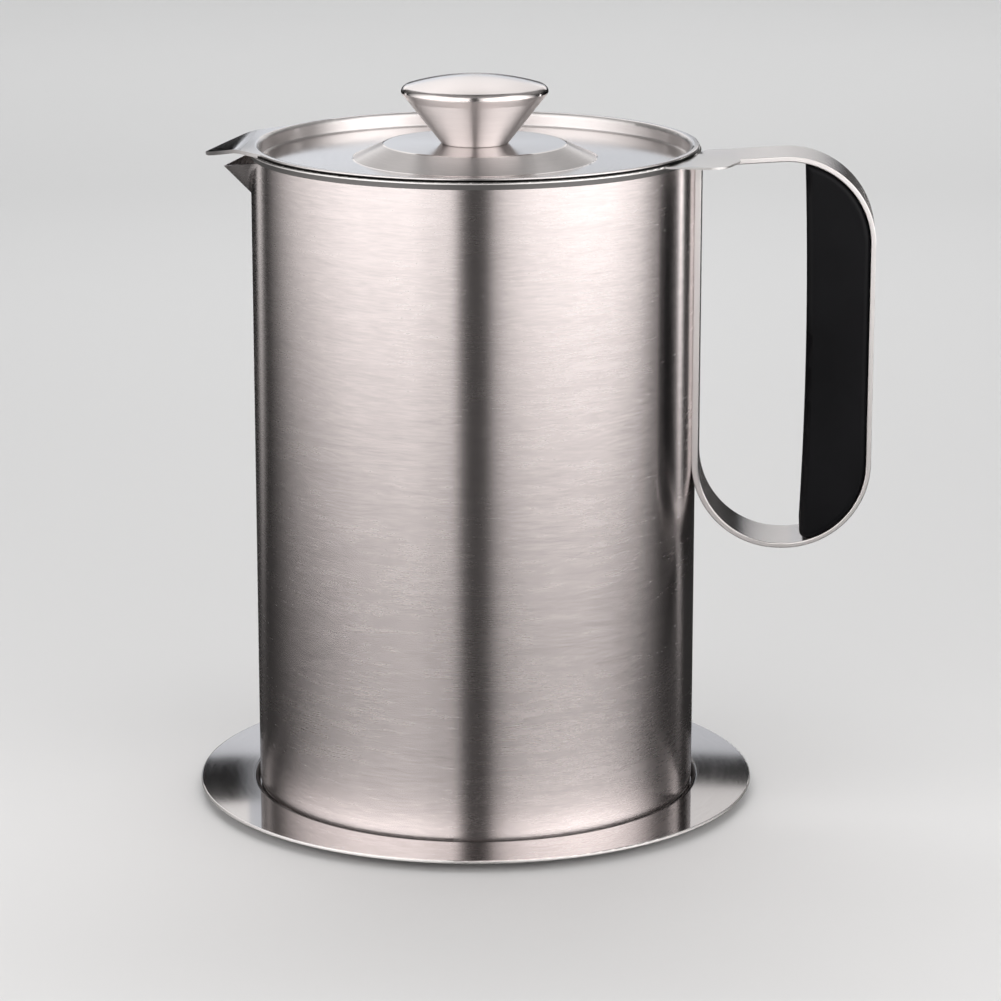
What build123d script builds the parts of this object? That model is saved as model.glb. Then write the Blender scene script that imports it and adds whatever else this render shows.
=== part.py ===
from build123d import *
import os
from math import asin, cos, pi, radians, sin, sqrt, tan

# Oil strainer jug: a drawn steel jug on a saucer, a lift-out strainer and a lid with a knob.
# Millimetres, +Z up. The origin is the middle of the saucer's underside, on the jug's axis.
# The handle points along +X and the spout along -X.

# Saucer
tray_flange = 14.65  # rim beyond the edge of the well
tray_sheet = 0.8
tray_rise = 2.2  # rim above the floor of the well
tray_gap = 0.35  # between the well and the jug's wall
tray_bend = 0.4
tray_edge_round = 0.3

# Jug
jug_radius = 55.0
jug_height = 161.1
jug_wall = 0.5
jug_corner = 2.6

# Spout, pressed out of the jug's wall
spout_reach = 7.4  # tip beyond the wall
spout_drop = 3.9  # tip below the rim
spout_depth = 11.2  # foot of the keel below the rim
spout_half_angle = 21.0
spout_keel_radius = 1.5
spout_crease_radius = 2.2

# Handle strap, a closed loop with one leg along the wall
strap_width = 18.0
strap_thickness = 1.2
strap_reach = 43.5  # outer face beyond the wall
strap_drop = 96.5  # lowest point below the rim
strap_top_step = 0.1  # top of the strap below the rim, at the wall
strap_slope = 4.0  # degrees that the top run climbs away from the wall
strap_top_radius = 21.6
strap_bottom_flat = 0.9  # straight stretch between the two lower bends
strap_corner_radius = 2.7
strap_leg_middle = 0.85  # thickness of the leg where it is thinnest, on the wall
strap_edge_round = 0.25

# Grip, moulded to fill the outer side of the loop
grip_depth = 15.2  # at half height
grip_bow = 1.1  # hollow of its finger side
grip_inset = 0.3  # from the strap's edges
grip_edge_radius = 1.6
grip_foot_radius = 2.0

# Countersunk screws through the strap into the grip
screw_radius = 1.5
screw_head_radius = 2.7
screw_length = 11.0
screw_spacing = 40.0

# Strainer
strainer_sheet = 0.5
strainer_gap = 0.3  # between its collar and the jug
strainer_neck = 1.8  # top of its flange above the rim
strainer_flange = 0.6  # overhang beyond the jug's wall
strainer_flange_round = 0.4
strainer_collar = 4.4  # depth of the straight collar
strainer_depth = 44.0
strainer_base_radius = 36.5
strainer_shoulder_bend = 5.5
strainer_base_bend = 1.0
strainer_ledge = 3.0  # width of the seat for the mesh

# Thumb tab on the strainer's flange
tab_angle = -20.0  # degrees from the handle
tab_reach = 13.0
tab_root_width = 22.0
tab_tip_width = 14.0
tab_corner_radius = 5.0

# Mesh in the strainer's base, and the ring that clamps it
mesh_sheet = 0.5
mesh_gap = 0.3  # from the bend of the bowl's base
mesh_pitch = 3.5
mesh_wire = 0.9
mesh_ring_width = 2.4
mesh_ring_height = 1.4
mesh_ring_round = 0.35

# Lid
lid_sheet = 0.5
lid_gap = 0.35  # between its pan and the strainer
lid_overhang = 0.1  # ring beyond the jug's wall
lid_hem_height = 0.9
lid_hem_width = 1.0
lid_hem_round = 0.3
lid_hem_under_round = 0.55
lid_pan_depth = 3.7  # ring to floor
lid_pan_bend = 0.6
dome_radius = 22.4  # of its flat top
dome_run = 7.7  # of its sloping side
dome_rise = 3.6
dome_bend = 1.2

# Beak of the lid, over the spout
beak_reach = 11.8  # tip beyond the jug's wall
beak_half_angle = 26.0
beak_fold = 2.3  # line that it bends down along, beyond the jug's wall
beak_bend = 10.0
beak_drop = 3.1
beak_bow = 1.2  # of its sides, seen from above
beak_tip_radius = 1.0

# Knob: a spun cone, a domed cap, and what holds them to the lid
knob_base_radius = 8.2
knob_height = 10.8  # of the cone
knob_sheet = 0.6
knob_base_bend = 0.3
cap_radius = 18.1
cap_skirt = 1.8  # sloping edge that runs on from the cone
cap_rise = 4.1
cap_shoulder = 1.7
cap_sheet = 0.8
cap_seat = 1.4  # width of the ring that sits on the cone
cap_edge_round = 0.5
insert_radius = 4.0
insert_drop = 3.0  # below the top of the cone
knob_screw_radius = 2.0
knob_screw_reach = 6.5  # into the insert
knob_screw_head_radius = 3.8
knob_screw_head_height = 2.2
knob_screw_head_round = 1.1
knob_hole_gap = 0.2
washer_radius = 6.0
washer_sheet = 0.8

# Heights and radii that the pieces share
well_z = tray_sheet
well_radius = jug_radius + tray_gap
rim_z = well_z + jug_height
flange_z = rim_z + strainer_neck
lid_z = flange_z + lid_hem_height
pan_z = lid_z - lid_pan_depth
plateau_z = pan_z + dome_rise
strainer_base_z = rim_z - strainer_depth
mesh_radius = strainer_base_radius - strainer_sheet - strainer_base_bend - mesh_gap
jug_inside = jug_radius - jug_wall
collar_radius = jug_inside - strainer_gap
pan_radius = collar_radius - strainer_sheet - lid_gap - lid_sheet
ring_radius = jug_radius + lid_overhang
strap_out_x = jug_radius + strap_reach
strap_low_z = rim_z - strap_drop
strap_high_z = rim_z - strap_top_step
knob_hole_radius = knob_screw_radius + knob_hole_gap
cone_top_z = plateau_z + knob_height
cap_rim_z = cone_top_z + cap_skirt
knob_slope = (cap_radius - knob_base_radius) / (knob_height + cap_skirt)
knob_top_radius = knob_base_radius + knob_slope * knob_height

BOTTOM = (Align.CENTER, Align.CENTER, Align.MIN)
TINY = 0.01  # within this, two places are the same
WALL_SHARE = 0.45  # most of a sheet that one rounded edge may take


def turned(profile):
    """Turns a profile, drawn as radius and height, about the jug's axis."""
    return revolve(Plane.XZ * profile, Axis.Z)


def sheet(points, bends, thickness, side):
    """Profile of a pressed sheet: one face line with its bends, thickened to one side."""
    line = FilletPolyline(*points, radius=bends)
    outline = Wire(line.edges()).offset_2d(thickness, kind=Kind.INTERSECTION, side=side, closed=True)
    return make_face(outline.edges())


def block(radius_low, radius_high, z_low, z_high):
    """Rectangle in a profile."""
    return Pos((radius_low + radius_high) / 2, (z_low + z_high) / 2) * Rectangle(
        radius_high - radius_low, z_high - z_low)


def polar(radius, degrees, z):
    return Vector(radius * cos(radians(degrees)), radius * sin(radians(degrees)), z)


def make_tray():
    rim_radius = well_radius + tray_flange
    flange_top = well_z + tray_rise
    top = [(0, well_z), (well_radius, well_z), (well_radius, flange_top), (rim_radius, flange_top)]
    profile = sheet(top, [tray_bend, tray_bend + tray_sheet], tray_sheet, Side.RIGHT)
    rim = profile.vertices().group_by(Axis.X)[-1]
    return turned(fillet(rim, min(tray_edge_round, tray_sheet * WALL_SHARE)))


def spout_points():
    """Tip of the spout, foot of its keel on the wall, and one root on the rim."""
    tip = Vector(-jug_radius - spout_reach, 0, rim_z - spout_drop)
    foot = Vector(-jug_radius, 0, rim_z - spout_depth)
    root = polar(jug_radius, 180 - spout_half_angle, rim_z)
    return tip, foot, root


def spout_wedge(shift):
    """Solid V of the spout, with its planes run on past the rim and into the jug."""
    tip, foot, root = spout_points()
    run_on = 2.5
    corners = [foot + (tip - foot) * run_on, foot - (tip - foot)]
    for corner in (root, Vector(root.X, -root.Y, root.Z)):
        corners.append(foot + (corner - foot) * run_on)
    return Pos(shift) * ConvexPolyhedron(corners)


def jug_form(inset, shift):
    """Solid form of the jug and its spout, open-ended above the rim."""
    above = spout_depth
    height = jug_height - inset + above
    body = Pos(0, 0, well_z + inset) * Cylinder(jug_radius - inset, height, align=BOTTOM)
    body = fillet(body.edges().group_by(Axis.Z)[0], jug_corner - inset)
    wedge = spout_wedge(shift)
    keel = [e for e in wedge.edges() if abs((e @ 0).Y) + abs((e @ 1).Y) < TINY]
    wedge = fillet(keel, spout_keel_radius - inset)
    top = Pos(0, 0, rim_z + above) * Box(4 * jug_radius, 4 * jug_radius, 4 * jug_height, align=BOTTOM)
    joined = body + (wedge - top)
    outside = joined.edges().filter_by(lambda e: e.geom_type != GeomType.LINE)
    crease = [e for e in outside if is_crease(e, jug_radius - inset, rim_z + above)]
    return fillet(crease, spout_crease_radius + inset)


def is_crease(edge, radius, top):
    """True for the edges where the spout leaves the round wall, below its open end."""
    middle = edge @ 0.5
    places = (edge @ 0, middle, edge @ 1)
    on_wall = all(abs(Vector(p.X, p.Y, 0).length - radius) < TINY for p in places)
    at_spout = middle.X < 0 and middle.Z > rim_z - 2 * spout_depth
    return on_wall and at_spout and middle.Z < top - TINY


def make_jug():
    tip, foot, root = spout_points()
    along = (tip - foot).normalized()
    side_normal = along.cross(root - foot).normalized()
    inward = Vector(along.Z, 0, -along.X)
    shift = inward * (jug_wall / sqrt(1 - side_normal.Y ** 2))
    shell = jug_form(0, Vector(0, 0, 0)) - jug_form(jug_wall, shift)
    above = Pos(0, 0, rim_z) * Box(4 * jug_radius, 4 * jug_radius, jug_height, align=BOTTOM)
    slope = spout_drop / (tip.X - root.X)
    far_x = 2 * tip.X
    lip = Polyline((root.X, rim_z), (far_x, rim_z + (root.X - far_x) * slope), (far_x, 2 * rim_z),
                   (root.X, 2 * rim_z), close=True)
    lip_cut = extrude(Plane.XZ * make_face(lip), amount=jug_radius, both=True)
    return shell - above - lip_cut


def strap_loop(inset, leg_x, corner):
    """Outline of the strap's loop, drawn in the plane of the handle."""
    climb = tan(radians(strap_slope))
    out_x = strap_out_x - inset
    high_z = strap_high_z - inset
    low_z = strap_low_z + inset
    points = [(leg_x, high_z), (out_x, high_z + (out_x - leg_x) * climb), (out_x, low_z), (leg_x, low_z)]
    lower = (out_x - leg_x - strap_bottom_flat) / 2
    radii = [corner, strap_top_radius - inset, lower, lower]
    return make_face(FilletPolyline(*points, radius=radii, close=True).edges())


def strap_inside():
    return strap_loop(strap_thickness, jug_radius + strap_leg_middle, strap_corner_radius - strap_thickness)


def make_strap():
    leg_x = sqrt(jug_radius ** 2 - (strap_width / 2) ** 2)
    outline = strap_loop(0, leg_x, strap_corner_radius) - strap_inside()
    strap = extrude(Plane.XZ * outline, amount=strap_width / 2, both=True)
    long_edges = strap.edges().group_by(Axis.Y)
    strap = fillet(long_edges[0] + long_edges[-1], strap_edge_round)
    wall = Cylinder(jug_radius, 2 * rim_z, align=BOTTOM)
    return strap - wall - make_screws()


def make_grip():
    loop = strap_inside()
    low = loop.bounding_box().min.Y
    high = loop.bounding_box().max.Y
    face_x = strap_out_x - strap_thickness - grip_depth
    end_x = face_x - grip_bow
    finger_side = ThreePointArc((end_x, low), (face_x, (low + high) / 2), (end_x, high))
    back = Polyline((end_x, high), (jug_radius, high), (jug_radius, low), (end_x, low))
    outline = loop - make_face(finger_side.edges() + back.edges())
    foot = outline.vertices().filter_by(lambda v: v.X < face_x).sort_by(Axis.Y)[0]
    outline = fillet(foot, grip_foot_radius)
    grip = extrude(Plane.XZ * outline, amount=strap_width / 2 - grip_inset, both=True)
    rounded = [e for e in grip.edges() if abs((e @ 0.5).X - face_x) < TINY]
    return fillet(rounded, grip_edge_radius) - make_screws()


def make_screws():
    """Countersunk screws, flush with the strap's outer face."""
    middle_z = (strap_high_z + strap_low_z) / 2
    cone = screw_head_radius - screw_radius
    profile = Polyline((0, 0), (screw_head_radius, 0), (screw_radius, cone), (screw_radius, screw_length),
                       (0, screw_length), close=True)
    screw = revolve(Plane.XZ * make_face(profile), Axis.Z)
    pair = []
    for z in (middle_z - screw_spacing / 2, middle_z + screw_spacing / 2):
        pair.append(Pos(strap_out_x, 0, z) * Rot(0, -90, 0) * screw)
    return Compound(children=pair)


def make_strainer():
    flange_radius = jug_radius + strainer_flange
    under = flange_z - strainer_sheet
    outside = [(strainer_base_radius - strainer_ledge, strainer_base_z),
               (strainer_base_radius, strainer_base_z),
               (collar_radius, rim_z - strainer_collar),
               (collar_radius, rim_z),
               (jug_radius, rim_z),
               (jug_radius, under),
               (flange_radius, under)]
    bends = [strainer_base_bend + strainer_sheet, strainer_shoulder_bend + strainer_sheet, 0, 0, 0]
    profile = sheet(outside, bends, strainer_sheet, Side.LEFT)
    lip = profile.vertices().group_by(Axis.X)[-1].sort_by(Axis.Y)[-1]
    lip_round = min(strainer_flange_round, 2 * strainer_sheet * WALL_SHARE)
    return turned(fillet(lip, lip_round)) + make_tab(under)


def make_tab(under):
    root = jug_radius - strainer_sheet / 2
    tip = jug_radius + tab_reach
    outline = FilletPolyline((root, -tab_root_width / 2), (tip, -tab_tip_width / 2), (tip, tab_tip_width / 2),
                             (root, tab_root_width / 2), radius=tab_corner_radius)
    across = Line((root, tab_root_width / 2), (root, -tab_root_width / 2))
    blank = extrude(make_face(outline.edges() + across.edges()), strainer_sheet)
    tab = Rot(0, 0, tab_angle) * (Pos(0, 0, under) * blank)
    return tab - Cylinder(root, 2 * flange_z, align=BOTTOM)


def make_mesh():
    """Net of the strainer: square gaps in rows, kept inside a plain clamped border."""
    disc = Circle(mesh_radius)
    open_radius = min(mesh_radius - mesh_ring_width, strainer_base_radius - strainer_ledge)
    gap = mesh_pitch - mesh_wire
    rows = int(open_radius / mesh_pitch) + 1
    places = []
    for row in range(-rows, rows + 1):
        for column in range(-rows, rows + 1):
            x = column * mesh_pitch
            y = row * mesh_pitch
            corner = sqrt((abs(x) + gap / 2) ** 2 + (abs(y) + gap / 2) ** 2)
            if corner < open_radius:
                places.append((x, y))
    net = disc - Locations(*places) * Rectangle(gap, gap)
    return Pos(0, 0, strainer_base_z + strainer_sheet) * extrude(net, mesh_sheet)


def make_mesh_ring():
    low = strainer_base_z + strainer_sheet + mesh_sheet
    outer = mesh_radius
    profile = block(outer - mesh_ring_width, outer, low, low + mesh_ring_height)
    inner_top = profile.vertices().group_by(Axis.Y)[-1]
    return turned(fillet(inner_top, mesh_ring_round))


def make_lid():
    top = [(knob_hole_radius, plateau_z), (dome_radius, plateau_z), (dome_radius + dome_run, pan_z),
           (pan_radius, pan_z), (pan_radius, lid_z), (ring_radius - lid_hem_width / 2, lid_z)]
    bends = [dome_bend + lid_sheet, dome_bend, lid_pan_bend, lid_pan_bend + lid_sheet]
    pressed = sheet(top, bends, lid_sheet, Side.RIGHT)
    hem = block(ring_radius - lid_hem_width, ring_radius, flange_z, lid_z)
    edge = hem.vertices().group_by(Axis.X)[-1].sort_by(Axis.Y)
    hem = fillet(edge[1], lid_hem_round)
    under = hem.vertices().group_by(Axis.X)[-1].sort_by(Axis.Y)[0]
    hem = fillet(under, min(lid_hem_under_round, (lid_hem_height - lid_hem_round) * 2 * WALL_SHARE))
    return turned(pressed + hem) + make_beak()


def make_beak():
    """Tongue that runs on from the ring and folds down to a point."""
    tip_x = -jug_radius - beak_reach
    fold_x = -jug_radius - beak_fold
    start_x = -ring_radius * cos(radians(beak_half_angle)) + lid_hem_width
    top = FilletPolyline((start_x, lid_z), (fold_x, lid_z), (tip_x, lid_z - beak_drop), radius=beak_bend)
    strip = Wire(top.edges()).offset_2d(lid_hem_height, side=Side.LEFT, closed=True)
    ribbon = extrude(Plane.XZ * make_face(strip.edges()), amount=jug_radius, both=True)
    tip = Vector(tip_x, 0)
    root = polar(ring_radius - lid_hem_round, 180 - beak_half_angle, 0)
    other = Vector(root.X, -root.Y)
    out = (root - tip).normalized().rotate(Axis.Z, 90) * beak_bow
    middle = (tip + root) / 2 + out
    sides = ThreePointArc(tip, middle, root).edges()
    sides += ThreePointArc(tip, Vector(middle.X, -middle.Y), other).edges()
    plan = make_face(sides + Line(root, other).edges())
    point = plan.vertices().group_by(Axis.X)[0]
    plan = fillet(point, beak_tip_radius)
    prism = Pos(0, 0, pan_z) * extrude(plan, 2 * lid_pan_depth)
    hollow = Pos(0, 0, pan_z) * Cylinder(ring_radius - lid_hem_width, 2 * lid_pan_depth, align=BOTTOM)
    return (ribbon & prism) - hollow


def make_knob_cone():
    outside = [(knob_hole_radius, plateau_z), (knob_base_radius, plateau_z), (knob_top_radius, cone_top_z)]
    profile = sheet(outside, [knob_base_bend + knob_sheet], knob_sheet, Side.LEFT)
    return turned(profile & block(0, cap_radius, plateau_z, cone_top_z))


def make_knob_cap():
    """Domed cap with a rounded edge, seated on the top of the cone."""
    outer = dome_profile(cap_radius, cap_rise, knob_top_radius)
    edge = outer.vertices().group_by(Axis.X)[-1]
    inner_radius = knob_top_radius - cap_seat
    inner = dome_profile(inner_radius, cap_rise - cap_sheet, inner_radius)
    return turned(fillet(edge, cap_edge_round) - inner)


def dome_profile(radius, rise, low_radius):
    """Flat crown that turns down over a tighter shoulder, then a skirt down to the top of the cone."""
    across = radius - cap_shoulder
    ball = (across ** 2 + rise ** 2 - cap_shoulder ** 2) / (2 * (rise - cap_shoulder))
    top = Vector(0, cap_rim_z + rise)
    middle = top - Vector(0, ball)
    turn = asin(across / (ball - cap_shoulder))
    meet = middle + Vector(sin(turn), cos(turn)) * ball
    crown = ThreePointArc(top, middle + Vector(sin(turn / 2), cos(turn / 2)) * ball, meet)
    half = (turn + pi / 2) / 2
    bulge = Vector(across, cap_rim_z) + Vector(sin(half), cos(half)) * cap_shoulder
    shoulder = ThreePointArc(meet, bulge, (radius, cap_rim_z))
    skirt = Polyline((radius, cap_rim_z), (low_radius, cone_top_z), (0, cone_top_z), top)
    return make_face(crown.edges() + shoulder.edges() + skirt.edges())


def make_knob_insert():
    low = plateau_z + knob_sheet
    return turned(block(knob_screw_radius, insert_radius, low, cone_top_z - insert_drop))


def make_knob_washer():
    high = plateau_z - lid_sheet
    return turned(block(knob_hole_radius, washer_radius, high - washer_sheet, high))


def make_knob_screw():
    seat = plateau_z - lid_sheet - washer_sheet
    tip = plateau_z + knob_sheet + knob_screw_reach
    head = block(0, knob_screw_head_radius, seat - knob_screw_head_height, seat)
    head = fillet(head.vertices().group_by(Axis.Y)[0].sort_by(Axis.X)[-1], knob_screw_head_round)
    return turned(head + block(0, knob_screw_radius, seat, tip))


parts = {
    "tray": make_tray,
    "jug_body": make_jug,
    "handle_strap": make_strap,
    "handle_grip": make_grip,
    "grip_screws": make_screws,
    "strainer_bowl": make_strainer,
    "strainer_mesh": make_mesh,
    "mesh_ring": make_mesh_ring,
    "lid_pan": make_lid,
    "knob_cone": make_knob_cone,
    "knob_cap": make_knob_cap,
    "knob_insert": make_knob_insert,
    "knob_washer": make_knob_washer,
    "knob_screw": make_knob_screw,
}

os.makedirs("parts", exist_ok=True)
for name, make in parts.items():
    export_step(make(), f"parts/{name}.step")
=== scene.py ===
"""Looks of the oil strainer jug: brushed steel, black grip, woven strainer net and a plain studio."""

import math

import bmesh
import bpy
from mathutils import Matrix, Vector


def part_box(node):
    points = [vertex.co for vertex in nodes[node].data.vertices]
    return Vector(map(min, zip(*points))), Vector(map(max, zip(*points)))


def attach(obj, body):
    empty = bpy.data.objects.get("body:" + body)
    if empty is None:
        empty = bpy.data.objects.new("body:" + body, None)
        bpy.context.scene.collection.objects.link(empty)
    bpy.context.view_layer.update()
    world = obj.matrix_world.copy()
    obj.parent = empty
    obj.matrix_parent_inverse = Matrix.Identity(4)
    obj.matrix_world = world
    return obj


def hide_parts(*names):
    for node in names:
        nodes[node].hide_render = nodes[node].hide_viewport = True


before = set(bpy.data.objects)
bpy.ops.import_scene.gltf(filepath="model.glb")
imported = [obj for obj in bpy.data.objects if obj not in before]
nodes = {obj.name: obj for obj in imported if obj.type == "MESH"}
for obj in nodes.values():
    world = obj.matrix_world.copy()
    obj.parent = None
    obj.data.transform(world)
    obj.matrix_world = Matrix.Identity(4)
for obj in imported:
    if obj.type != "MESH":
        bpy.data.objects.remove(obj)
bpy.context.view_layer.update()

MM = 0.001

# Camera, at the photo's viewing angle
CAMERA_PLACE = (0.07251, -0.92136, 0.30727)
CAMERA_TILT = 75.827
CAMERA_TURN = 4.109
CAMERA_LENS = 136.36
CAMERA_SENSOR = 36.0

# Colours
JUG_COLOUR = (0.79, 0.72, 0.712)
TRAY_COLOUR = (0.54, 0.515, 0.51)
LID_COLOUR = (0.79, 0.757, 0.75)
KNOB_COLOUR = (0.90, 0.84, 0.828)
STRAP_COLOUR = (0.84, 0.81, 0.805)
STRAINER_COLOUR = (0.74, 0.72, 0.71)
FASTENER_COLOUR = (0.66, 0.65, 0.64)
GRIP_COLOUR = (0.0045, 0.0045, 0.0055)
# Painted shade: near-black colour laid in the crevices between parts, where shadow falls
PAINTED_SHADE_COLOUR = (0.02, 0.018, 0.017)
# Painted highlight: near-white colour laid on the cut edges of the saucer and the strap
EDGE_HIGHLIGHT_COLOUR = (0.97, 0.94, 0.93)
FLOOR_COLOUR = (0.72, 0.72, 0.72)
CARD_DARK = (0.002, 0.002, 0.002)
CARD_LIGHT = (0.004, 0.004, 0.004)

# Strainer net
NET_PITCH = 1.1 * MM
NET_WIRE_RADIUS = 0.12 * MM
NET_SIDES = 4

# Cross recess of the screws, in shares of the head's radius, and the angle of a sharp edge
CROSS_WIDTH = 0.32
CROSS_REACH = 0.66
CROSS_DEPTH = 0.40
CROSS_TAPER = 0.45
CROSS_RISE = 0.5
SHARP_ANGLE = 30.0

# Thin bands of another colour: a painted highlight on the saucer's edge, and painted shade in the crevices
# between parts
BAND_SOFTNESS = 0.1 * MM
BAND_PAST_SHEET = 1.0 * MM
EDGE_BAND = 0.35 * MM
WELL_BAND = 1.6 * MM
WELL_BAND_LOW = 0.05 * MM
WELL_BAND_SHARE = 0.75
LID_BAND_LOW = 1.6 * MM
LID_BAND_HIGH = 2.35 * MM
LID_BAND_INSIDE = 0.7 * MM
LID_BAND_OUTSIDE = 0.5 * MM
NECK_BAND_HIGH = 1.3 * MM
NECK_BAND_INSIDE = 1.1 * MM
NECK_BAND_OUTSIDE = 0.1 * MM
NECK_BAND_SHARE = 0.8

# Studio floor, which sweeps up into a wall
FLOOR_FLAT = 2.0
FLOOR_BEND = 0.8
FLOOR_WALL = 1.6
FLOOR_BEND_STEPS = 12
ROUND_STEPS = 96

# Studio panels: angles from the camera's side, in degrees, with the share of full light there
LEFT_GLOW = (
    (-130, 0.0), (-127, 0.02), (-122, 0.10), (-116, 0.20), (-107, 0.38), (-97, 0.55), (-79, 0.78),
    (-60, 0.96), (-30, 1.0), (-23, 0.88), (-12, 0.80), (-9.5, 0.60), (-7, 0.20), (-4, 0.04), (0, 0.03),
)
RIGHT_GLOW = (
    (0, 0.03), (3, 0.04), (6, 0.10), (9, 0.38), (15, 0.66), (18, 0.75), (28, 0.92), (41, 1.01),
    (55, 1.07), (70, 1.02), (86, 0.77), (92, 0.56), (98, 0.35), (104, 0.17), (109, 0.05), (114, 0.0),
)
RIGHT_STRIP_GLOW = ((119, 1.0), (123, 1.0))
LEFT_STRIP_GLOW = ((-138, 1.0), (-130, 1.0))
HIGH_BACK_GLOW = ((155, 0.70), (168, 0.75), (176, 1.0), (205, 1.0))
MIDDLE_BACK_GLOW = ((173.3, 0.86), (177, 0.88), (181, 1.0), (187.3, 1.0))
GAP_BACK_GLOW = ((173.0, 0.0), (173.8, 0.86), (177, 0.88), (181, 1.0), (186.2, 1.0), (187.7, 0.0))
RIGHT_BACK_GLOW = ((155, 1.0), (173.3, 1.0))
LEFT_BACK_GLOW = ((187.3, 1.0), (205, 1.0))
LOW_BACK_GLOW = ((155, 0.85), (175, 0.85), (185, 1.0), (205, 1.0))
FAR_GLOW = ((-180, 0.35), (-172, 0.4), (-160, 1.0), (140, 1.0), (160, 0.6), (172, 0.35), (180, 0.35))

# Studio panels: how far a patch on the floor is drawn in, and the angle between a panel's points
FLOOR_TURN = 0.7
ARC_STEP = 4.0

# Studio panels: radii and heights
FRONT_RADIUS = 0.55
FRONT_LOW = 0.05
FRONT_MIDDLE = 0.50
FRONT_HIGH = 0.95
NEAR_INSIDE = 0.0708
NEAR_OUTSIDE = 0.13
NEAR_HEIGHT = 0.0008
STRIP_RADIUS = 0.28
STRIP_LOW = 0.001
STRIP_HIGH = 0.20
BACK_RADIUS = 0.9
BACK_LOW = 0.258
GAP_LOW = 0.2893
RIGHT_GAP_HIGH = 0.3052
LEFT_GAP_HIGH = 0.3136
BACK_MIDDLE = 0.40
BACK_HIGH = 1.10
FAR_RADIUS = 1.3
FAR_LOW = 0.40
FAR_HIGH = 1.0
ROOF_HOLE = 0.01
ROOF_TOP = 1.3
CARD_INSIDE = 0.0705
CARD_OUTSIDE = 1.95
CARD_LOW = 0.0005
CARD_HIGH = 1.5

# Studio light
WARM_LIGHT = (1.0, 0.985, 0.975)
COOL_LIGHT = (0.91, 0.945, 1.0)
WORLD_LIGHT = (0.95, 0.97, 1.0)
WORLD_STRENGTH = 0.04
FAR_STRENGTH = 0.25


class Graph:
    """A material's node tree, with short ways to add nodes and feed its shader."""

    def __init__(self, name):
        self.material = bpy.data.materials.new(name)
        self.material.use_nodes = True
        self.tree = self.material.node_tree
        self.shader = self.tree.nodes["Principled BSDF"]

    def add(self, kind, inputs=(), **settings):
        node = self.tree.nodes.new(kind)
        for name, value in settings.items():
            setattr(node, name, value)
        for name, value in dict(inputs).items():
            self.feed(node.inputs[name], value)
        return node

    def feed(self, socket, value):
        if isinstance(value, bpy.types.NodeSocket):
            self.tree.links.new(value, socket)
        else:
            socket.default_value = value

    def set(self, **values):
        for name, value in values.items():
            self.feed(self.shader.inputs[name.replace("_", " ")], value)

    def place(self):
        return self.add("ShaderNodeTexCoord").outputs["Object"]

    def split(self, vector):
        return self.add("ShaderNodeSeparateXYZ", {"Vector": vector}).outputs

    def join(self, x, y, z):
        return self.add("ShaderNodeCombineXYZ", {"X": x, "Y": y, "Z": z}).outputs["Vector"]

    def math(self, operation, first, second=0.0):
        return self.add("ShaderNodeMath", {0: first, 1: second}, operation=operation).outputs[0]

    def vector(self, operation, first, second):
        return self.add("ShaderNodeVectorMath", {0: first, 1: second}, operation=operation).outputs["Vector"]

    def noise(self, vector, scale, detail, roughness):
        node = self.add("ShaderNodeTexNoise", {"Vector": vector, "Scale": scale, "Detail": detail,
                                               "Roughness": roughness})
        return node.outputs["Fac"]

    def spread(self, value, low, high):
        """A noise value of about 0.3 to 0.7, stretched to run from low to high."""
        return self.add("ShaderNodeMapRange", {"Value": value, "From Min": 0.3, "From Max": 0.7,
                                               "To Min": low, "To Max": high}).outputs["Result"]

    def tint(self, factor, dark, light):
        return self.blend(factor, (*dark, 1.0), (*light, 1.0))

    def blend(self, factor, first, second):
        return self.add("ShaderNodeMix", {"Factor": factor, 6: first, 7: second}, data_type="RGBA").outputs[2]

    def bump(self, height, distance):
        return self.add("ShaderNodeBump", {"Height": height, "Distance": distance}).outputs["Normal"]


def scaled(colour, factor):
    return tuple(min(1.0, part * factor) for part in colour)


def brushed(graph, colour, roughness, anisotropy, streaks, across, grain, depth, painted_light_and_shade=()):
    """Brushed metal: streaks is the vector that the grain follows, across the way that gloss spreads.

    The last argument lists shares of other colours, and those colours: painted highlights and painted shade
    laid over the steel.
    """
    fine = graph.noise(streaks, scale=1.0, detail=4.0, roughness=0.62)
    broad = graph.noise(streaks, scale=0.23, detail=2.0, roughness=0.5)
    cloud = graph.noise(graph.place(), scale=28.0, detail=2.0, roughness=0.5)
    mixed = graph.math("ADD", graph.math("MULTIPLY", fine, 0.65), graph.math("MULTIPLY", broad, 0.35))
    factor = graph.spread(mixed, 0.0, 1.0)
    shade = graph.tint(factor, scaled(colour, 1.0 - grain), scaled(colour, 1.0 + grain))
    # Painted light: each share lays a pale highlight colour or a dark shade colour over the steel
    for share, other in painted_light_and_shade:
        shade = graph.blend(share, shade, (*other, 1.0))
    graph.set(Base_Color=shade, Metallic=1.0, Anisotropic=anisotropy, Tangent=across)
    uneven = graph.math("ADD", graph.spread(mixed, -0.008, 0.008), graph.spread(cloud, -0.005, 0.005))
    graph.set(Roughness=graph.math("ADD", uneven, roughness))
    if depth:
        graph.set(Normal=graph.bump(mixed, depth))
    return graph.material


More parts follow.
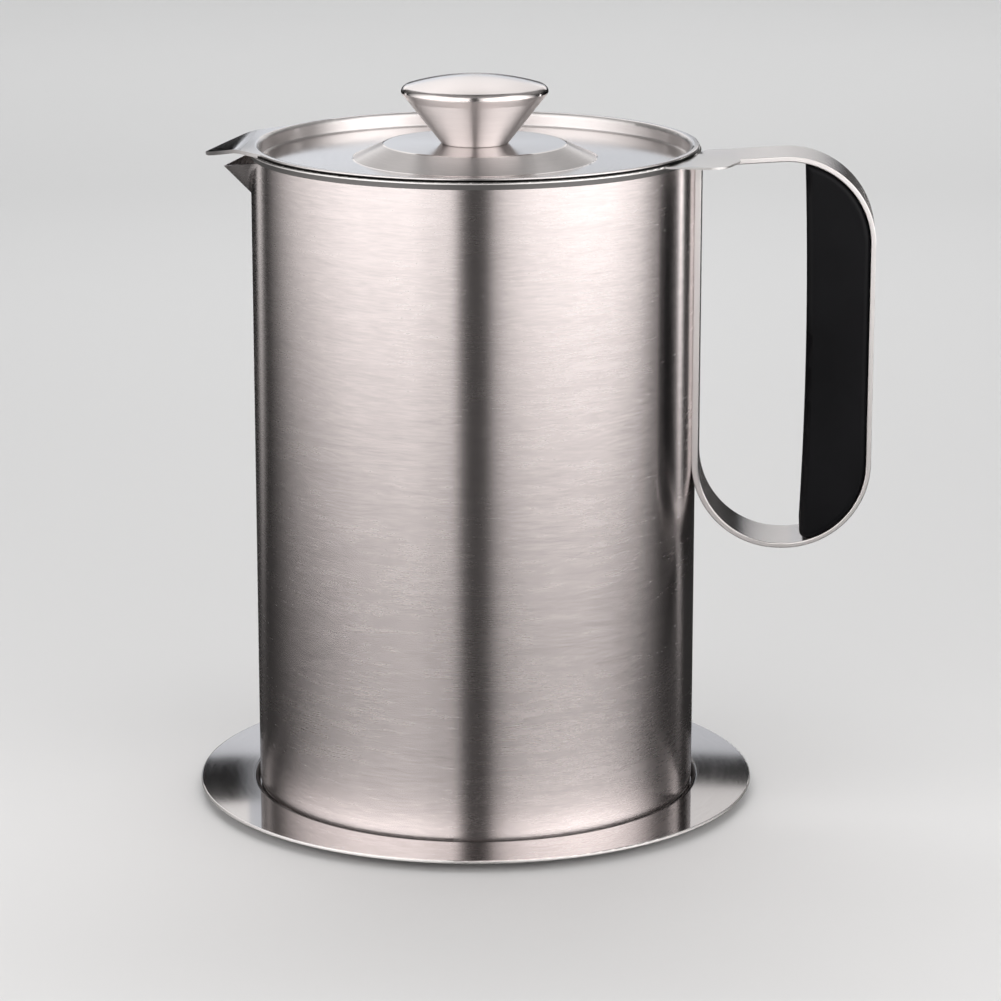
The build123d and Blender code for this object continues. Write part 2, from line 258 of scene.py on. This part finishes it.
def turned_steel(name, colour, roughness, anisotropy, grain, depth=0.0, slope=None, bands=(),
                 fine=3300.0, long=240.0, rise=0.6):
    """Steel whose grain runs round the jug's axis, on walls, cones and flats alike.

    slope gives another roughness, and the upward parts of the normal between which it comes in.
    bands lists the heights and the radii between which another colour comes in, its share and the colour; the
    bands hold painted highlights and painted shade.
    fine and long are the grain's scales across and along it; rise weighs height against radius.
    """
    graph = Graph(name)
    place = graph.place()
    x, y, z = graph.split(place)
    radius = graph.math("SQRT", graph.math("ADD", graph.math("MULTIPLY", x, x), graph.math("MULTIPLY", y, y)))
    climb = graph.math("ADD", radius, graph.math("MULTIPLY", z, rise))
    streaks = graph.join(graph.math("MULTIPLY", x, long), graph.math("MULTIPLY", y, long),
                         graph.math("MULTIPLY", climb, fine))
    around = graph.vector("CROSS_PRODUCT", (0.0, 0.0, 1.0), place)
    normal = graph.add("ShaderNodeNewGeometry").outputs["Normal"]
    across = graph.vector("CROSS_PRODUCT", normal, around)
    if slope:
        other, start, stop = slope
        share = graph.add("ShaderNodeMapRange", {"Value": graph.split(normal)[2], "From Min": start,
                                                 "From Max": stop}).outputs["Result"]
        roughness = graph.math("ADD", graph.math("MULTIPLY", share, other - roughness), roughness)
    painted_light_and_shade = []
    # Each band lays painted light: a pale colour for a highlight, a dark one for shade
    for low, high, inner, outer, most, other in bands:
        inside = graph.add("ShaderNodeMapRange", {"Value": z, "From Min": high,
                                                  "From Max": high - BAND_SOFTNESS,
                                                  "To Max": most}).outputs["Result"]
        for value, edge, test in ((z, low, "GREATER_THAN"), (radius, inner, "GREATER_THAN"),
                                  (radius, outer, "LESS_THAN")):
            inside = graph.math("MULTIPLY", inside, graph.math(test, value, edge))
        painted_light_and_shade.append((inside, other))
    return brushed(graph, colour, roughness, anisotropy, streaks, across, grain, depth, painted_light_and_shade)


def strip_steel(name, colour, roughness, edge_roughness, anisotropy, grain, fine=2400.0, long=70.0):
    """Steel strip with its grain along the loop of the handle, and duller cut edges with a painted highlight.
    """
    graph = Graph(name)
    x, y, z = graph.split(graph.place())
    streaks = graph.join(graph.math("MULTIPLY", x, long), graph.math("MULTIPLY", z, long),
                         graph.math("MULTIPLY", y, fine))
    sideways = graph.math("ABSOLUTE", graph.split(graph.add("ShaderNodeNewGeometry").outputs["Normal"])[1])
    across = graph.join(sideways, graph.math("SUBTRACT", 1.0, sideways), 0.0)
    roughness = graph.math("ADD", graph.math("MULTIPLY", sideways, edge_roughness - roughness), roughness)
    # Painted highlight: the cut edges, which face sideways, are laid near-white
    painted_light_and_shade = [(sideways, EDGE_HIGHLIGHT_COLOUR)]
    return brushed(graph, colour, roughness, anisotropy, streaks, across, grain, 0.0, painted_light_and_shade)


def plain_steel(name, colour, roughness):
    """Bright drawn steel with a faint unevenness."""
    graph = Graph(name)
    speck = graph.noise(graph.place(), scale=900.0, detail=3.0, roughness=0.6)
    shade = graph.tint(graph.spread(speck, 0.0, 1.0), scaled(colour, 0.93), scaled(colour, 1.05))
    graph.set(Base_Color=shade, Metallic=1.0,
              Roughness=graph.spread(speck, roughness - 0.04, roughness + 0.04),
              Normal=graph.bump(speck, distance=2e-6))
    return graph.material


def grip_plastic():
    """Satin black moulding with a fine grain."""
    graph = Graph("grip_black")
    grain = graph.noise(graph.place(), scale=5200.0, detail=2.0, roughness=0.5)
    cloud = graph.noise(graph.place(), scale=60.0, detail=3.0, roughness=0.5)
    shade = graph.tint(graph.spread(cloud, 0.0, 1.0), scaled(GRIP_COLOUR, 0.85), scaled(GRIP_COLOUR, 1.2))
    graph.set(Base_Color=shade,
              Roughness=graph.math("ADD", graph.spread(cloud, -0.03, 0.03), graph.spread(grain, 0.40, 0.46)),
              Normal=graph.bump(grain, distance=4e-6))
    graph.shader.inputs["Specular IOR Level"].default_value = 0.14
    return graph.material


def floor_paint():
    """Pale matt paint with a faint unevenness."""
    graph = Graph("studio_floor")
    cloud = graph.noise(graph.place(), scale=2.0, detail=2.0, roughness=0.5)
    shade = graph.tint(graph.spread(cloud, 0.0, 1.0), scaled(FLOOR_COLOUR, 0.985), FLOOR_COLOUR)
    graph.set(Base_Color=shade, Roughness=0.75)
    return graph.material


def dress(material, *names):
    """Gives CAD nodes their finish."""
    for name in names:
        mesh = nodes[name].data
        mesh.materials.clear()
        mesh.materials.append(material)


def new_piece(name, mesh_maker, material):
    """A mesh object from a bmesh builder."""
    shape = bmesh.new()
    mesh_maker(shape)
    bmesh.ops.recalc_face_normals(shape, faces=shape.faces)
    mesh = bpy.data.meshes.new(name)
    shape.to_mesh(mesh)
    shape.free()
    if material is not None:
        mesh.materials.append(material)
    piece = bpy.data.objects.new(name, mesh)
    bpy.context.scene.collection.objects.link(piece)
    return piece


def wire(shape, points, radius, upright):
    """A closed tube of a few sides along points, which wave in a plane that holds upright."""
    rings = []
    for index, point in enumerate(points):
        ahead = points[min(index + 1, len(points) - 1)] - points[max(index - 1, 0)]
        side = ahead.cross(upright).normalized()
        up = side.cross(ahead).normalized()
        ring = []
        for corner in range(NET_SIDES):
            turn = 2 * math.pi * (corner + 0.5) / NET_SIDES
            ring.append(shape.verts.new(point + (side * math.cos(turn) + up * math.sin(turn)) * radius))
        rings.append(ring)
    for low, high in zip(rings, rings[1:]):
        for corner in range(NET_SIDES):
            other = (corner + 1) % NET_SIDES
            face = shape.faces.new((low[corner], low[other], high[other], high[corner]))
            face.smooth = True
    shape.faces.new(rings[0])
    shape.faces.new(rings[-1])


def weave_net(shape):
    """Plain-woven wire cloth, cut round, in the space of the CAD net."""
    low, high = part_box("strainer_mesh")
    middle_z = (low.z + high.z) / 2
    reach = (high.x - low.x) / 2 - NET_PITCH
    upright = Vector((0, 0, 1))
    count = int(reach / NET_PITCH)
    for across in (False, True):
        for row in range(-count, count + 1):
            offset = row * NET_PITCH
            half = math.sqrt(reach ** 2 - offset ** 2)
            steps = int(half / (NET_PITCH / 2))
            points = []
            for step in range(-steps, steps + 1):
                along = step * NET_PITCH / 2
                over = math.cos(math.pi * (along / NET_PITCH + row + (1 if across else 0)))
                lift = middle_z + over * NET_WIRE_RADIUS
                place = (offset, along, lift) if across else (along, offset, lift)
                points.append(Vector(place))
            if len(points) > 2:
                wire(shape, points, NET_WIRE_RADIUS, upright)


def add_net(material):
    """The woven net, in place of the CAD net."""
    net = new_piece("strainer_net", weave_net, material)
    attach(net, "strainer")
    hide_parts("strainer_mesh")


def cross_cutter(place, outward, radius):
    """Tapered cross that a driver fits, cut into a screw head from its outer face."""
    half = CROSS_WIDTH * radius / 2
    reach = CROSS_REACH * radius
    quarter = [(reach, -half), (reach, half), (half, half)]
    outline = []
    for turn in range(4):
        spin = Matrix.Rotation(turn * math.pi / 2, 2)
        outline += [spin @ Vector(point) for point in quarter]
    stand = Matrix.Translation(place) @ Vector(outward).to_track_quat("Z", "Y").to_matrix().to_4x4()

    def cross(shape):
        rims = []
        for height, share in ((CROSS_RISE, 1.0), (0.0, 1.0), (-CROSS_DEPTH, CROSS_TAPER)):
            places = [Vector((*(point * share), height * radius)) for point in outline]
            rims.append([shape.verts.new(stand @ place) for place in places])
        for high, low in zip(rims, rims[1:]):
            for corner in range(len(outline)):
                other = (corner + 1) % len(outline)
                shape.faces.new((high[corner], high[other], low[other], low[corner]))
        shape.faces.new(rims[0])
        shape.faces.new(rims[-1])

    return new_piece("cross_cutter", cross, None)


def add_screws(name, node, body, seats, outward, radius, material):
    """The screws of a CAD node with a cross recess in each head."""
    piece = bpy.data.objects.new(name, nodes[node].data.copy())
    bpy.context.scene.collection.objects.link(piece)
    piece.matrix_world = nodes[node].matrix_world
    cutters = [cross_cutter(seat, outward, radius) for seat in seats]
    for cutter in cutters:
        cut = piece.modifiers.new("recess", "BOOLEAN")
        cut.operation = "DIFFERENCE"
        cut.object = cutter
    shaped = bpy.data.meshes.new_from_object(piece.evaluated_get(bpy.context.evaluated_depsgraph_get()))
    piece.modifiers.clear()
    piece.data = shaped
    for cutter in cutters:
        bpy.data.objects.remove(cutter)
    shaped.materials.clear()
    shaped.materials.append(material)
    for face in shaped.polygons:
        face.use_smooth = True
    shaped.set_sharp_from_angle(angle=math.radians(SHARP_ANGLE))
    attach(piece, body)
    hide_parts(node)


def add_all_screws(material):
    """The grip's two screws and the knob's one."""
    low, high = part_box("grip_screws")
    radius = (high.y - low.y) / 2
    middle = (low.y + high.y) / 2
    seats = [(high.x, middle, low.z + radius), (high.x, middle, high.z - radius)]
    add_screws("grip_screw_heads", "grip_screws", "jug", seats, (1, 0, 0), radius, material)
    low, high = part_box("knob_screw")
    radius = (high.x - low.x) / 2
    seat = ((low.x + high.x) / 2, (low.y + high.y) / 2, low.z)
    add_screws("knob_screw_head", "knob_screw", "lid", [seat], (0, 0, -1), radius, material)


def add_studio():
    """Pale floor that sweeps up into a wall all round."""
    def sweep(shape):
        profile = [(0.0, 0.0), (FLOOR_FLAT, 0.0)]
        for step in range(1, FLOOR_BEND_STEPS + 1):
            angle = math.pi / 2 * step / FLOOR_BEND_STEPS
            profile.append((FLOOR_FLAT + FLOOR_BEND * math.sin(angle), FLOOR_BEND * (1 - math.cos(angle))))
        profile.append((FLOOR_FLAT + FLOOR_BEND, FLOOR_BEND + FLOOR_WALL))
        line = [shape.verts.new((radius, 0.0, height)) for radius, height in profile]
        edges = [shape.edges.new(pair) for pair in zip(line, line[1:])]
        bmesh.ops.spin(shape, geom=line + edges, cent=(0, 0, 0), axis=(0, 0, 1), angle=2 * math.pi,
                       steps=ROUND_STEPS, use_merge=True)
        bmesh.ops.remove_doubles(shape, verts=shape.verts, dist=1e-6)
        for face in shape.faces:
            face.smooth = True

    floor = new_piece("studio_floor", sweep, floor_paint())


def studio_turn(angle):
    """Angle in plan, in radians, of a direction counted in degrees from the camera's side to its right."""
    return math.atan2(CAMERA_PLACE[1], CAMERA_PLACE[0]) + math.radians(angle)


def glow_paint(name, strength, colour):
    """Light from the front of a panel only, in the share that its points carry."""
    graph = Graph(name)
    share = graph.add("ShaderNodeAttribute", attribute_name="glow").outputs["Fac"]
    behind = graph.add("ShaderNodeNewGeometry").outputs["Backfacing"]
    front = graph.math("SUBTRACT", 1.0, behind)
    power = graph.math("MULTIPLY", graph.math("MULTIPLY", share, strength), front)
    light = graph.add("ShaderNodeEmission", {"Color": (*colour, 1.0), "Strength": power})
    output = graph.tree.nodes["Material Output"]
    graph.tree.links.new(light.outputs["Emission"], output.inputs["Surface"])
    return graph.material


def arc_panel(name, glow, rims, strength, colour=WARM_LIGHT, mirrored_only=False):
    """Curved soft panel round the jug.

    glow lists angles from the camera's side, rising, and shares of strength; rims gives the radius, the
    height and the share of the panel's two edges. A panel that is mirrored_only lights nothing matt.
    """
    panel = bpy.data.meshes.new(name)
    points, shares, faces = [], [], []
    for (first, share), (last, next_share) in zip(glow, glow[1:]):
        steps = max(1, round((last - first) / ARC_STEP))
        for step in range(steps + (last == glow[-1][0])):
            part = step / steps
            turn = studio_turn(first + (last - first) * part)
            for radius, height, level in rims:
                points.append((radius * math.cos(turn), radius * math.sin(turn), height))
                shares.append((share + (next_share - share) * part) * level)
    for corner in range(0, len(points) - 2, 2):
        faces.append((corner, corner + 1, corner + 3, corner + 2))
    panel.from_pydata(points, [], faces)
    panel.attributes.new("glow", "FLOAT", "POINT").data.foreach_set("value", shares)
    panel.materials.append(glow_paint(name, strength, colour))
    stand = bpy.data.objects.new(name, panel)
    bpy.context.scene.collection.objects.link(stand)
    stand.visible_camera = False
    stand.visible_shadow = False
    stand.visible_diffuse = not mirrored_only


def lamp(name, place, aim, width, depth, radiance):
    """Flat soft lamp, aimed at a point, which reflections don't show."""
    data = bpy.data.lights.new(name, "AREA")
    data.shape = "RECTANGLE"
    data.size = width
    data.size_y = depth
    data.energy = radiance * math.pi * width * depth
    panel = bpy.data.objects.new(name, data)
    panel.location = place
    panel.rotation_euler = (Vector(aim) - Vector(place)).to_track_quat("-Z", "Y").to_euler()
    panel.visible_camera = False
    panel.visible_glossy = False
    bpy.context.scene.collection.objects.link(panel)


def add_black_cards():
    """Black card on the floor and round the studio, which only reflections see, as photographers' flags."""
    def dish(shape):
        rims = []
        for radius, height in ((CARD_INSIDE, CARD_LOW), (CARD_OUTSIDE, CARD_LOW), (CARD_OUTSIDE, CARD_HIGH)):
            rim = []
            for step in range(ROUND_STEPS):
                turn = 2 * math.pi * step / ROUND_STEPS
                rim.append(shape.verts.new((radius * math.cos(turn), radius * math.sin(turn), height)))
            rims.append(rim)
        for inner, outer in zip(rims, rims[1:]):
            for step in range(ROUND_STEPS):
                other = (step + 1) % ROUND_STEPS
                shape.faces.new((inner[step], inner[other], outer[other], outer[step]))

    graph = Graph("card_black")
    cloud = graph.noise(graph.place(), scale=3.0, detail=3.0, roughness=0.55)
    graph.set(Base_Color=graph.tint(cloud, CARD_DARK, CARD_LIGHT), Roughness=0.9)
    card = new_piece("black_cards", dish, graph.material)
    card.visible_camera = False
    card.visible_diffuse = False
    card.visible_transmission = False
    card.visible_shadow = False


def turned_in(glow):
    """A panel's glow, drawn in towards the camera's side for its patch on the floor."""
    return [(angle * FLOOR_TURN, share) for angle, share in glow]


def add_front_panels():
    """Two soft panels with a dark gap at the camera, their glow on the floor, and two narrow strips."""
    front = ((FRONT_RADIUS, FRONT_LOW, 1.06), (FRONT_RADIUS, FRONT_MIDDLE, 0.75))
    arc_panel("left_panel", LEFT_GLOW, front, strength=2.40)
    arc_panel("right_panel", RIGHT_GLOW, front, strength=2.48)
    upper = ((FRONT_RADIUS, FRONT_MIDDLE, 0.75), (FRONT_RADIUS, FRONT_HIGH, 0.55))
    arc_panel("left_upper_panel", LEFT_GLOW, upper, strength=2.48, mirrored_only=True)
    arc_panel("right_upper_panel", RIGHT_GLOW, upper, strength=2.58, mirrored_only=True)
    near = ((NEAR_INSIDE, NEAR_HEIGHT, 1.0), (NEAR_OUTSIDE, NEAR_HEIGHT, 0.0))
    arc_panel("left_floor", turned_in(LEFT_GLOW), near, strength=0.55, mirrored_only=True)
    arc_panel("right_floor", turned_in(RIGHT_GLOW), near, strength=0.65, mirrored_only=True)
    strip = ((STRIP_RADIUS, STRIP_LOW, 0.1), (STRIP_RADIUS, STRIP_HIGH, 1.1))
    arc_panel("right_strip", RIGHT_STRIP_GLOW, strip, strength=3.6, mirrored_only=True)
    arc_panel("left_strip", LEFT_STRIP_GLOW, strip, strength=1.1, mirrored_only=True)


def add_back_panels():
    """Panels behind the jug, with a dark gap on either side that the saucer mirrors."""
    high = ((BACK_RADIUS, BACK_MIDDLE, 0.95), (BACK_RADIUS, BACK_HIGH, 1.25))
    arc_panel("high_back_panel", HIGH_BACK_GLOW, high, strength=1.0)
    middle = ((BACK_RADIUS, LEFT_GAP_HIGH, 1.0), (BACK_RADIUS, BACK_MIDDLE, 1.05))
    arc_panel("middle_back_panel", MIDDLE_BACK_GLOW, middle, strength=0.83, colour=COOL_LIGHT)
    gap = ((BACK_RADIUS, GAP_LOW, 1.0), (BACK_RADIUS, LEFT_GAP_HIGH, 1.0))
    arc_panel("gap_back_panel", GAP_BACK_GLOW, gap, strength=0.83, colour=COOL_LIGHT)
    right = ((BACK_RADIUS, RIGHT_GAP_HIGH, 0.9), (BACK_RADIUS, BACK_MIDDLE, 1.1))
    arc_panel("right_back_panel", RIGHT_BACK_GLOW, right, strength=1.02)
    left = ((BACK_RADIUS, LEFT_GAP_HIGH, 1.0), (BACK_RADIUS, BACK_MIDDLE, 1.0))
    arc_panel("left_back_panel", LEFT_BACK_GLOW, left, strength=1.15)
    low = ((BACK_RADIUS, BACK_LOW, 1.0), (BACK_RADIUS, GAP_LOW, 1.0))
    arc_panel("low_back_panel", LOW_BACK_GLOW, low, strength=0.98, colour=COOL_LIGHT)


def add_far_panels():
    """Dim ring and roof, so that flat steel isn't black from other sides."""
    ring = ((FAR_RADIUS, FAR_LOW, 0.1), (FAR_RADIUS, FAR_HIGH, 1.0))
    arc_panel("ring_panel", FAR_GLOW, ring, FAR_STRENGTH, mirrored_only=True)
    roof = ((FAR_RADIUS, FAR_HIGH, 1.0), (ROOF_HOLE, ROOF_TOP, 0.9))
    arc_panel("roof_panel", FAR_GLOW, roof, FAR_STRENGTH, mirrored_only=True)


def add_lamps():
    """Soft light on the floor, and a faint even world."""
    lamp("top_lamp", place=(0.0, -0.10, 1.0), aim=(0.0, -0.10, 0.0), width=0.6, depth=0.5, radiance=2.0)
    lamp("far_floor_lamp", place=(0.0, 1.3, 1.6), aim=(0.0, 1.3, 0.0), width=2.4, depth=1.2, radiance=3.4)
    world = bpy.data.worlds.new("studio")
    bpy.context.scene.world = world
    world.use_nodes = True
    background = world.node_tree.nodes["Background"]
    background.inputs["Color"].default_value = (*WORLD_LIGHT, 1.0)
    background.inputs["Strength"].default_value = WORLD_STRENGTH


def add_camera():
    """Camera that sees the jug as the photo does."""
    data = bpy.data.cameras.new("photo_view")
    data.lens = CAMERA_LENS
    data.sensor_width = CAMERA_SENSOR
    data.clip_start = 0.01
    data.clip_end = 50.0
    camera = bpy.data.objects.new("photo_view", data)
    camera.location = CAMERA_PLACE
    camera.rotation_euler = (math.radians(CAMERA_TILT), 0.0, math.radians(CAMERA_TURN))
    bpy.context.scene.collection.objects.link(camera)
    bpy.context.scene.camera = camera


bpy.context.scene.view_settings.view_transform = "Standard"

jug_low, jug_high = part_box("jug_body")
rim_height = jug_high.z
wall_radius = (jug_high.y - jug_low.y) / 2
tray_low, tray_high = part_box("tray")
tray_radius = (tray_high.y - tray_low.y) / 2
above_tray = tray_high.z + BAND_PAST_SHEET
# Painted highlight: the saucer's rim edge is laid near-white
tray_edge_highlight = (tray_low.z - BAND_PAST_SHEET, above_tray, tray_radius - EDGE_BAND,
             tray_radius + BAND_PAST_SHEET, 1.0, EDGE_HIGHLIGHT_COLOUR)
# Painted shade: the bend of the saucer's well round the jug's foot, darkened where shadow falls
well_painted_shade = (jug_low.z + WELL_BAND_LOW, above_tray, wall_radius, wall_radius + WELL_BAND,
                WELL_BAND_SHARE, PAINTED_SHADE_COLOUR)
# Painted shade: the underside of the lid's rim, a dark line where shadow falls onto the strainer's flange
lid_painted_shade = (rim_height + LID_BAND_LOW, rim_height + LID_BAND_HIGH, wall_radius - LID_BAND_INSIDE,
               wall_radius + LID_BAND_OUTSIDE, 1.0, PAINTED_SHADE_COLOUR)
# Painted shade: the strainer's neck between the jug's rim and its flange, darkened where the flange shades it
neck_painted_shade = (rim_height, rim_height + NECK_BAND_HIGH, wall_radius - NECK_BAND_INSIDE,
                wall_radius + NECK_BAND_OUTSIDE, NECK_BAND_SHARE, PAINTED_SHADE_COLOUR)

dress(turned_steel("jug_brushed", JUG_COLOUR, roughness=0.27, anisotropy=1.0, grain=0.10), "jug_body")
dress(turned_steel("tray_turned", TRAY_COLOUR, roughness=0.045, anisotropy=0.45, grain=0.06,
                   slope=(0.50, 0.985, 0.85), bands=[tray_edge_highlight, well_painted_shade]), "tray")
dress(turned_steel("lid_satin", LID_COLOUR, roughness=0.13, anisotropy=0.90, grain=0.05, depth=3e-7,
                   slope=(0.34, 0.945, 0.92), bands=[lid_painted_shade]), "lid_pan")
dress(turned_steel("cone_turned", KNOB_COLOUR, roughness=0.42, anisotropy=1.0, grain=0.04), "knob_cone")
dress(turned_steel("cap_satin", KNOB_COLOUR, roughness=0.18, anisotropy=0.90, grain=0.02,
                   slope=(0.33, 0.0, -0.3)), "knob_cap")
dress(turned_steel("strainer_drawn", STRAINER_COLOUR, roughness=0.16, anisotropy=0.30, grain=0.04, depth=1e-6,
                   slope=(0.45, 0.5, 0.2), bands=[neck_painted_shade]), "strainer_bowl", "mesh_ring")
dress(strip_steel("strap_brushed", STRAP_COLOUR, roughness=0.22, edge_roughness=0.65, anisotropy=0.75,
                  grain=0.04), "handle_strap")
fastener_steel = plain_steel("fastener_plain", FASTENER_COLOUR, roughness=0.28)
dress(fastener_steel, "grip_screws", "knob_insert", "knob_washer", "knob_screw")
add_all_screws(fastener_steel)
dress(grip_plastic(), "handle_grip")
add_net(plain_steel("net_wire", STRAINER_COLOUR, roughness=0.30))
add_studio()
add_front_panels()
add_back_panels()
add_far_panels()
add_lamps()
add_black_cards()
add_camera()
